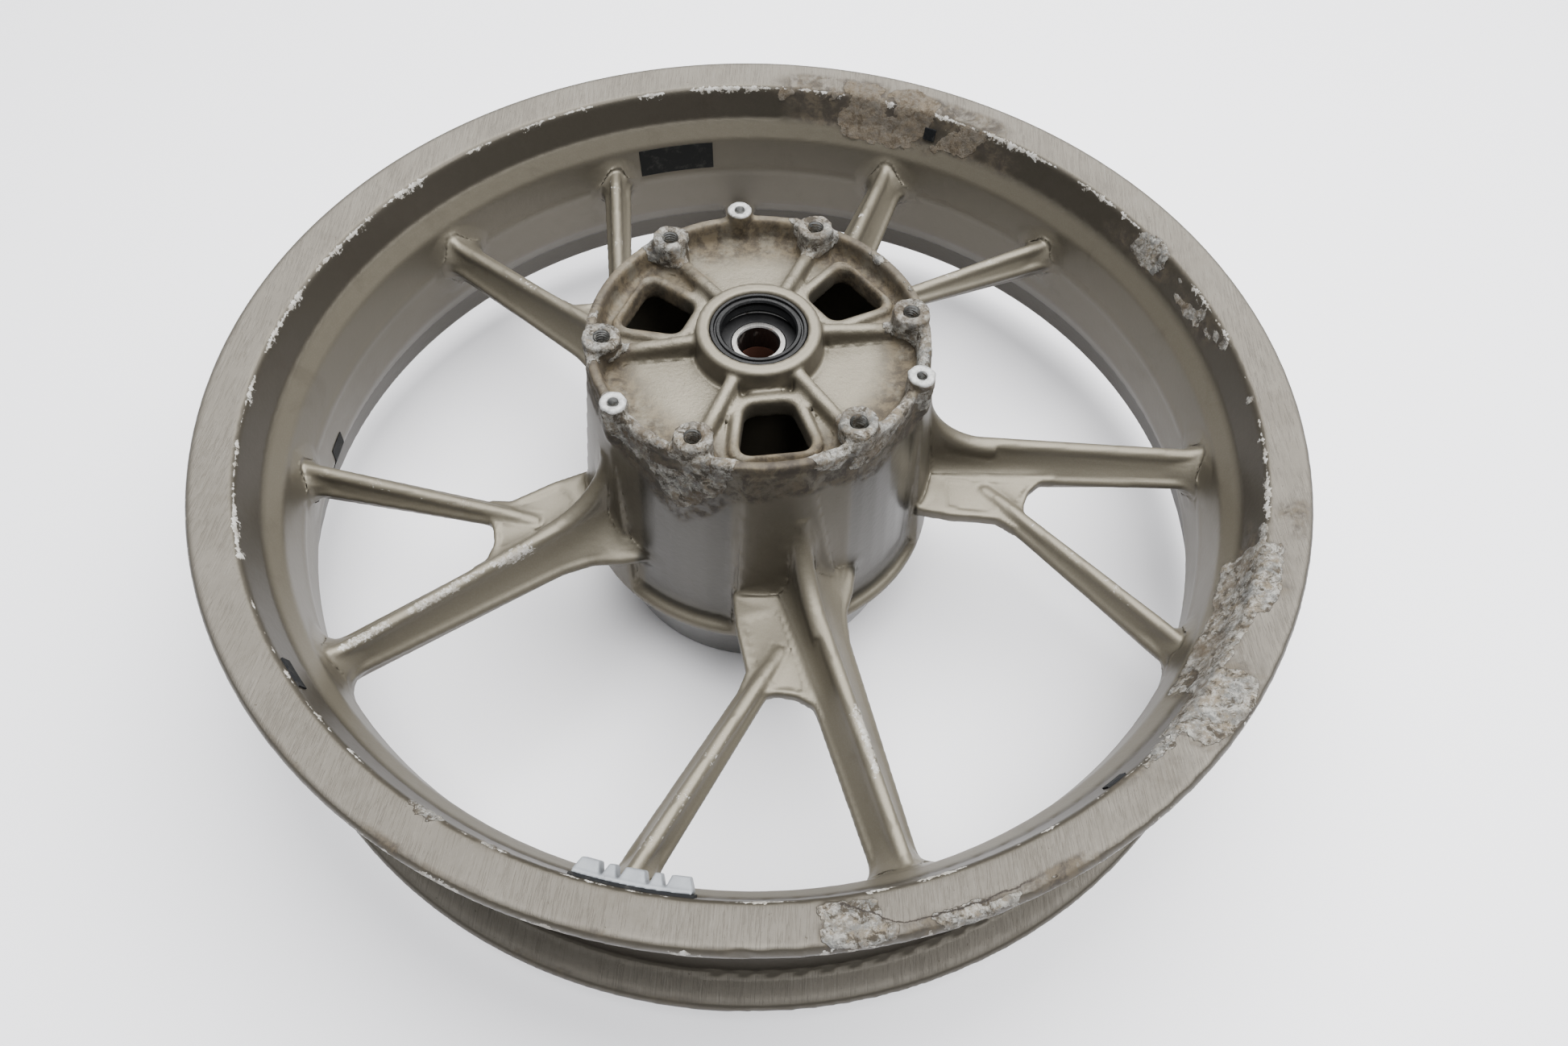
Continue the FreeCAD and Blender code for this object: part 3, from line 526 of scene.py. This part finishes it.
def metallic_paint(p, cloud, radius, upward, lit_facing, on_flange):
    """Champagne paint: painted shade on upright faces and under the lip, and darker in glossy panels."""
    flake = p.noise(1500, 2, 0.7)
    colour = p.blend(p.ramp(cloud, 0.3, 0.7, 0.0, 0.16), CHAMPAGNE, CHAMPAGNE_DARK_AND_SHADED)
    colour = p.blend(p.ramp(flake, 0.35, 0.75, 0.0, 0.30), colour, (0.185, 0.172, 0.140))
    # Painted shade: faces that don't point up take the darker paint, standing in for the light falling from
    # above
    colour = p.blend(lit_facing, CHAMPAGNE_DARK_AND_SHADED, colour)
    # Painted shade: faces under the flange lip that don't point up are darkened
    under_lip_shade = p.times(p.ramp(radius, 0.2080, 0.2105), p.level(upward, 1.0, 0.0))
    colour = p.blend(p.times(under_lip_shade, 0.75), colour, (0.034, 0.029, 0.0225))
    colour = p.blend(p.times(p.attribute("gloss"), 0.8), colour, (0.038, 0.036, 0.0320))
    colour = p.blend(p.times(on_flange, 0.8), colour, (0.090, 0.0815, 0.0695))
    # Painted shade: the concave hollows are darkened a little
    colour = p.blend(p.times(p.attribute("hollow_shade"), 0.18), colour, (0.050, 0.042, 0.030))
    dirt = p.ramp(p.noise(38, 5, 0.65, warp=0.6), 0.54, 0.74)
    return p.blend(p.times(dirt, 0.22), colour, (0.045, 0.036, 0.024))


def scratched(p, colour, on_flange):
    """Scratches and nicks of the flange face: the colour, and how deep they are."""
    lines = scratches(p, (0.3, 0.95, 1.6, 2.2, 2.8), 1500, 0.57)
    pale_lines = scratches(p, (0.65, 1.3, 2.5), 1900, 0.58)
    marks = p.times(lines, on_flange)
    colour = p.blend(p.times(marks, 0.28), colour, (0.050, 0.043, 0.034))
    colour = p.blend(p.times(p.times(pale_lines, on_flange), 0.16), colour, (0.20, 0.19, 0.17))
    nicks = p.times(p.ramp(p.noise(420, 3, 0.7), 0.70, 0.74), on_flange)
    return p.blend(p.times(nicks, 0.7), colour, (0.040, 0.032, 0.022)), p.most(marks, nicks)


def soiled(p, colour, mottle, grime):
    """Settled grime and brown stains: the colour, and the share that is stained."""
    grimy = p.blend(p.ramp(mottle, 0.38, 0.62), (0.105, 0.082, 0.050), (0.036, 0.027, 0.017))
    colour = p.blend(p.times(grime, p.ramp(p.noise(80, 5, 0.75), 0.32, 0.55, 0.15, 0.95)), colour, grimy)
    share = p.times(p.attribute("stain"), p.ramp(p.noise(110, 5, 0.75, warp=0.4), 0.36, 0.56, 0.1, 0.95))
    brown = p.blend(p.ramp(mottle, 0.42, 0.60), (0.034, 0.027, 0.020), (0.075, 0.060, 0.040))
    return p.blend(share, colour, brown), share


def chipped(p, colour, mottle, radius, high):
    """Paint knocked off edges: the colour, and the share that is bare."""
    chips = p.attribute("chips")
    speckle = p.math("MULTIPLY_ADD", p.math("SUBTRACT", p.noise(620, 5, 0.8), 0.5), 1.7, chips)
    share = p.times(p.ramp(speckle, 0.64, 0.76), p.ramp(chips, 0.05, 0.3))
    share = p.most(share, edge_chips(p, radius, high, FACE_IN, 0.0015, 0.46))
    share = p.most(share, edge_chips(p, radius, high, FACE_OUT, 0.0015, 0.38))
    metal = p.blend(p.ramp(mottle, 0.4, 0.6), (0.40, 0.39, 0.365), (0.24, 0.222, 0.19))
    return p.blend(share, colour, metal), share


def corroded(p, colour, mottle):
    """White and brown crust where the paint has lifted: the colour, and the share that is crust."""
    brown = p.attribute("brown")
    ragged = p.math("MULTIPLY_ADD", p.math("SUBTRACT", p.noise(330, 4, 0.75), 0.5), 1.1, p.attribute("crust"))
    share = p.ramp(ragged, 0.38, 0.58)
    white = p.times(p.ramp(p.noise(300, 6, 0.8), 0.44, 0.62), p.level(brown, 1.0, 0.35))
    beige = p.blend(p.ramp(p.noise(120, 4, 0.7), 0.36, 0.60), (0.150, 0.122, 0.084), (0.112, 0.112, 0.106))
    crust = p.blend(p.times(white, 0.85), beige, (0.325, 0.318, 0.290))
    crust = p.blend(p.ramp(p.noise(230, 6, 0.8, warp=0.5), 0.48, 0.60), crust, (0.036, 0.028, 0.018))
    crust = p.blend(p.most(p.times(brown, 0.6), p.ramp(p.noise(60, 4, 0.7), 0.50, 0.66, 0.0, 0.8)), crust,
                    p.blend(mottle, (0.050, 0.036, 0.020), (0.120, 0.088, 0.052)))
    return p.blend(share, colour, crust), share


def cast_aluminium():
    """Painted and weathered casting, from the paint up to the crust and the bare faces."""
    p = Paint("cast_aluminium")
    radius, azimuth, high, upward, lit_facing = polar_nodes(p)
    on_flange = p.times(p.ramp(radius, 0.2125, 0.2145), upward)
    gloss, grime, bare = p.attribute("gloss"), p.attribute("grime"), p.attribute("bare")
    cloud, mottle = p.noise(9, 4, 0.55), p.noise(170, 5, 0.72, warp=0.3)

    colour = metallic_paint(p, cloud, radius, upward, lit_facing, on_flange)
    colour, scored = scratched(p, colour, on_flange)
    colour, stained = soiled(p, colour, mottle, grime)
    colour, flaked = chipped(p, colour, mottle, radius, high)
    colour, crusted = corroded(p, colour, mottle)
    colour = p.blend(crack(p, radius, azimuth, high), colour, (0.020, 0.015, 0.011))
    silver = p.blend(p.ramp(p.noise(500, 3, 0.7), 0.4, 0.6), (0.46, 0.46, 0.45), (0.33, 0.33, 0.32))
    colour = p.blend(bare, colour, silver)

    dull = p.most(crusted, p.times(flaked, 0.85))
    dirty = p.most(stained, grime)
    metallic = p.level(dull, 0.62, 0.04)
    metallic = p.level(p.times(dirty, 0.6), metallic, 0.15)
    metallic = p.level(bare, metallic, 0.7)
    rough = p.level(p.ramp(cloud, 0.3, 0.7), 0.43, 0.50)
    rough = p.level(on_flange, rough, p.level(p.noise(45, 4, 0.6), 0.46, 0.62))
    rough = p.level(gloss, rough, 0.28)
    rough = p.level(p.most(dull, p.times(dirty, 0.8)), rough, 0.82)

    inside = p.times(p.ramp(radius, 0.066, 0.063), p.ramp(radius, 0.026, 0.030))
    normal = p.bump(p.noise(420, 2, 0.5), 0.10, 0.0006)
    normal = p.bump(p.times(p.noise(650, 4, 0.7), inside), 0.45, 0.0006, normal)
    normal = p.bump(scored, 0.35, 0.0002, normal)
    normal = p.bump(p.times(p.noise(520, 5, 0.8), crusted), 0.9, 0.0012, normal)
    return p.finish(Base_Color=colour, Metallic=metallic, Roughness=rough, Normal=normal)


def steel(name, colour, rough, rust=0.0, dark=(0.10, 0.045, 0.02)):
    """Turned or drawn steel with a fine grain, stains and, where asked, rust."""
    p = Paint(name)
    grain = p.noise(2500, 2, 0.6, p.stretched(0.4, 1.0, 0.08))
    patches = p.noise(160, 5, 0.7, warp=0.4)
    spots = p.ramp(patches, 0.66 - rust * 0.42, 0.80 - rust * 0.42)
    shade = p.blend(p.ramp(grain, 0.3, 0.7), colour, tuple(c * 0.78 for c in colour))
    shade = p.blend(p.times(spots, min(1.0, 0.35 + rust)), shade, dark)
    roughness = p.level(spots, rough, min(0.95, rough + 0.4))
    normal = p.bump(p.most(grain, spots), 0.15, 0.0002)
    return p.finish(Base_Color=shade, Metallic=p.level(spots, 1.0, 1.0 - rust), Roughness=roughness,
                    Normal=normal)


def rubber(name, colour, rough, dust=0.25, shine=0.25):
    """Moulded rubber with a fine pebble, dust and rubbed places."""
    p = Paint(name)
    pebble = p.noise(1800, 3, 0.6)
    cloud = p.noise(120, 5, 0.7)
    shade = p.blend(p.ramp(cloud, 0.45, 0.8, 0.0, dust), colour, (0.055, 0.050, 0.042))
    roughness = p.level(p.ramp(cloud, 0.4, 0.7), rough, min(0.95, rough + 0.18))
    return p.finish(Base_Color=shade, Metallic=0.0, Roughness=roughness, Specular_IOR_Level=shine,
                    Normal=p.bump(pebble, 0.2, 0.0003))


def coated_zinc():
    p = Paint("coated_zinc")
    cloud = p.noise(140, 4, 0.6)
    fine = p.noise(1300, 3, 0.6)
    shade = p.blend(p.ramp(cloud, 0.3, 0.7), (0.205, 0.218, 0.232), (0.165, 0.176, 0.190))
    shade = p.blend(p.times(p.ramp(fine, 0.62, 0.70), p.ramp(cloud, 0.5, 0.65)), shade, (0.07, 0.072, 0.075))
    return p.finish(Base_Color=shade, Metallic=0.15, Roughness=p.level(cloud, 0.42, 0.58),
                    Normal=p.bump(fine, 0.12, 0.0004))


def tape(name, colour, weave):
    """Dull adhesive tape: a woven backing where weave is 1 and smooth foam where it is 0."""
    p = Paint(name)
    lines = p.add("TexWave", {"Vector": p.stretched(0.2, 1.0, 1.0), "Scale": 900.0, "Distortion": 1.5})
    cloth = p.times(lines.outputs["Fac"], weave)
    cloud = p.noise(220, 4, 0.7)
    shade = p.blend(p.ramp(cloud, 0.5, 0.8, 0.0, 0.5), colour, (0.045, 0.043, 0.038))
    return p.finish(Base_Color=shade, Metallic=0.0, Roughness=p.level(cloud, 0.6, 0.8), Specular_IOR_Level=0.12,
                    Normal=p.bump(p.most(cloth, cloud), 0.25, 0.0003))


def paint_nodes(skins):
    made = {
        "bare_thread": steel("bare_thread", (0.42, 0.42, 0.41), 0.30, 0.05),
        "cast_aluminium": cast_aluminium(),
        "bearing_steel": steel("bearing_steel", (0.20, 0.196, 0.188), 0.32, 0.20),
        "ball_steel": steel("ball_steel", (0.75, 0.75, 0.76), 0.10),
        "cage_steel": steel("cage_steel", (0.50, 0.48, 0.44), 0.34, 0.05),
        "bearing_rubber": rubber("bearing_rubber", (0.006, 0.006, 0.0065), 0.45, 0.1),
        "rusty_steel": steel("rusty_steel", (0.11, 0.060, 0.042), 0.55, 0.75, (0.075, 0.024, 0.012)),
        "seal_rubber": rubber("seal_rubber", (0.0030, 0.0031, 0.0034), 0.22, 0.04, 0.16),
        "spring_steel": steel("spring_steel", (0.30, 0.29, 0.28), 0.38, 0.25),
        "damper_rubber": rubber("damper_rubber", (0.010, 0.0095, 0.009), 0.62),
        "valve_alloy": steel("valve_alloy", (0.62, 0.62, 0.63), 0.30, 0.08, (0.30, 0.29, 0.27)),
        "valve_brass": steel("valve_brass", (0.62, 0.47, 0.22), 0.32, 0.15, (0.16, 0.10, 0.04)),
        "cap_plastic": rubber("cap_plastic", (0.025, 0.025, 0.026), 0.42, 0.3),
        "coated_zinc": coated_zinc(),
        "foam_tape": tape("foam_tape", (0.0055, 0.006, 0.0068), 0.0),
        "cloth_tape": tape("cloth_tape", (0.0055, 0.0058, 0.0054), 1.0),
    }
    for part in frame["record"]["subparts"]:
        mesh = NODES[part["node"]].data
        mesh.materials.clear()
        mesh.materials.append(made[part["material_slot"]])
    for obj, name in skins.items():
        obj.data.materials.append(made[name])


# ---------------------------------------------------------------- studio

def floor():
    size = 6.0
    mesh = bpy.data.meshes.new("floor")
    corners = [(-size, -size, FLOOR_Z), (size, -size, FLOOR_Z), (size, size, FLOOR_Z), (-size, size, FLOOR_Z)]
    mesh.from_pydata(corners, [], [(0, 1, 2, 3)])
    p = Paint("floor_white")
    tint = p.blend(p.noise(3, 3, 0.5), (0.86, 0.855, 0.885), (0.88, 0.878, 0.90))
    mesh.materials.append(p.finish(Base_Color=tint, Roughness=0.55, Metallic=0.0))
    obj = bpy.data.objects.new("floor", mesh)
    bpy.context.scene.collection.objects.link(obj)


def soft_light(name, place, size, power, target=(0, 0, 0)):
    data = bpy.data.lights.new(name, "AREA")
    data.shape = "RECTANGLE"
    data.size, data.size_y = size
    data.energy = power
    obj = bpy.data.objects.new(name, data)
    obj.location = place
    obj.rotation_euler = (Vector(target) - Vector(place)).to_track_quat("-Z", "Y").to_euler()
    bpy.context.scene.collection.objects.link(obj)


def studio():
    """A pale room that is brighter overhead, and one large softbox above and behind the wheel."""
    world = bpy.data.worlds.new("room")
    world.use_nodes = True
    tree = world.node_tree
    back = tree.nodes["Background"]
    back.inputs["Color"].default_value = (0.95, 0.97, 1.0, 1.0)
    place = tree.nodes.new("ShaderNodeTexCoord")
    split = tree.nodes.new("ShaderNodeSeparateXYZ")
    rise = tree.nodes.new("ShaderNodeMapRange")
    for socket, value in {"From Min": 0.0, "From Max": 0.8, "To Min": 0.22, "To Max": 0.95}.items():
        rise.inputs[socket].default_value = value
    tree.links.new(place.outputs["Generated"], split.inputs[0])
    tree.links.new(split.outputs["Z"], rise.inputs["Value"])
    tree.links.new(rise.outputs["Result"], back.inputs["Strength"])
    bpy.context.scene.world = world
    soft_light("softbox", (0.28, 0.30, 1.40), (2.2, 2.0), 118)


def camera():
    """Looks down at the wheel from the front, from a little above arm's length."""
    down, roll = math.radians(56.21), math.radians(2.75)
    back = Vector((0, -math.cos(down), math.sin(down)))
    right = Vector((1, 0, 0))
    up = back.cross(right)
    level_right = math.cos(roll) * right + math.sin(roll) * up
    level_up = math.cos(roll) * up - math.sin(roll) * right
    data = bpy.data.cameras.new("camera")
    data.sensor_width = 36
    data.lens = 24.10
    data.clip_start, data.clip_end = 0.02, 30
    obj = bpy.data.objects.new("camera", data)
    turn = Matrix((level_right, level_up, back)).transposed().to_4x4()
    obj.matrix_world = Matrix.Translation((13.9 * MM, -299.3 * MM, 390.4 * MM)) @ turn
    bpy.context.scene.collection.objects.link(obj)
    bpy.context.scene.camera = obj


camera()
studio()
floor()
skins = {wheel_skin(): "cast_aluminium", weight_skin(): "coated_zinc",
         thread_lining("disc_threads", DISC_HOLES): "bare_thread",
         thread_lining("sensor_threads", SENSOR_HOLES): "bare_thread"}
paint_nodes(skins)
